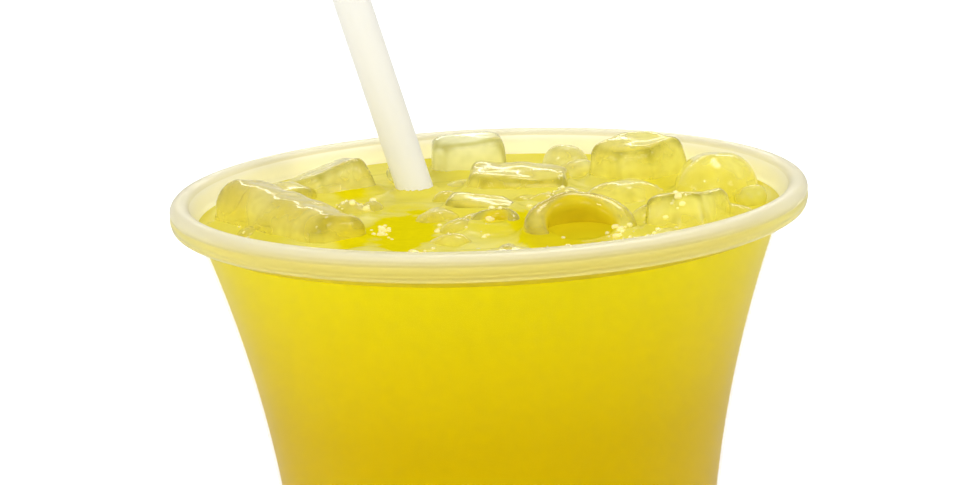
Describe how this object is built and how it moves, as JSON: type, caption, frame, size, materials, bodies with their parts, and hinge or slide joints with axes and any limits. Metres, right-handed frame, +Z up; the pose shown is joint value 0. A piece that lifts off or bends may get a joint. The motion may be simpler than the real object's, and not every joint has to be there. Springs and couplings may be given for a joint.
{
  "type": "iced sugarcane juice in a plastic cup",
  "caption": "Flared disposable clear plastic cup with a rolled rim, filled with cloudy yellow sugarcane juice, with lumps of ice at the top and a leaning white straw.",
  "frame": {"origin": "centre of the cup's foot, on the table", "axes": "+Z up along the cup's axis, +Y towards the back of the drink, +X to the right; the straw leans towards -X"},
  "size_m": [0.098, 0.098, 0.1955],
  "materials": {
    "clear_plastic": "clear, slightly hazy moulded polypropylene",
    "juice": "cloudy yellow liquid",
    "white_plastic": "warm white extruded plastic",
    "ice": "melting ice, wet with juice"
  },
  "bodies": {
    "root": {"cup": "clear_plastic", "ice_back": "ice", "ice_back_bead": "ice", "ice_back_flat": "ice", "ice_back_left": "ice", "ice_back_right": "ice", "ice_front": "ice", "ice_front_left": "ice", "ice_front_right": "ice", "ice_front_tube": "ice", "ice_left_chip": "ice", "ice_left_log": "ice", "ice_middle": "ice", "ice_middle_right": "ice", "ice_middle_ring": "ice", "ice_right_dome": "ice", "juice": "juice", "straw": "white_plastic"}
  },
  "joints": []
}
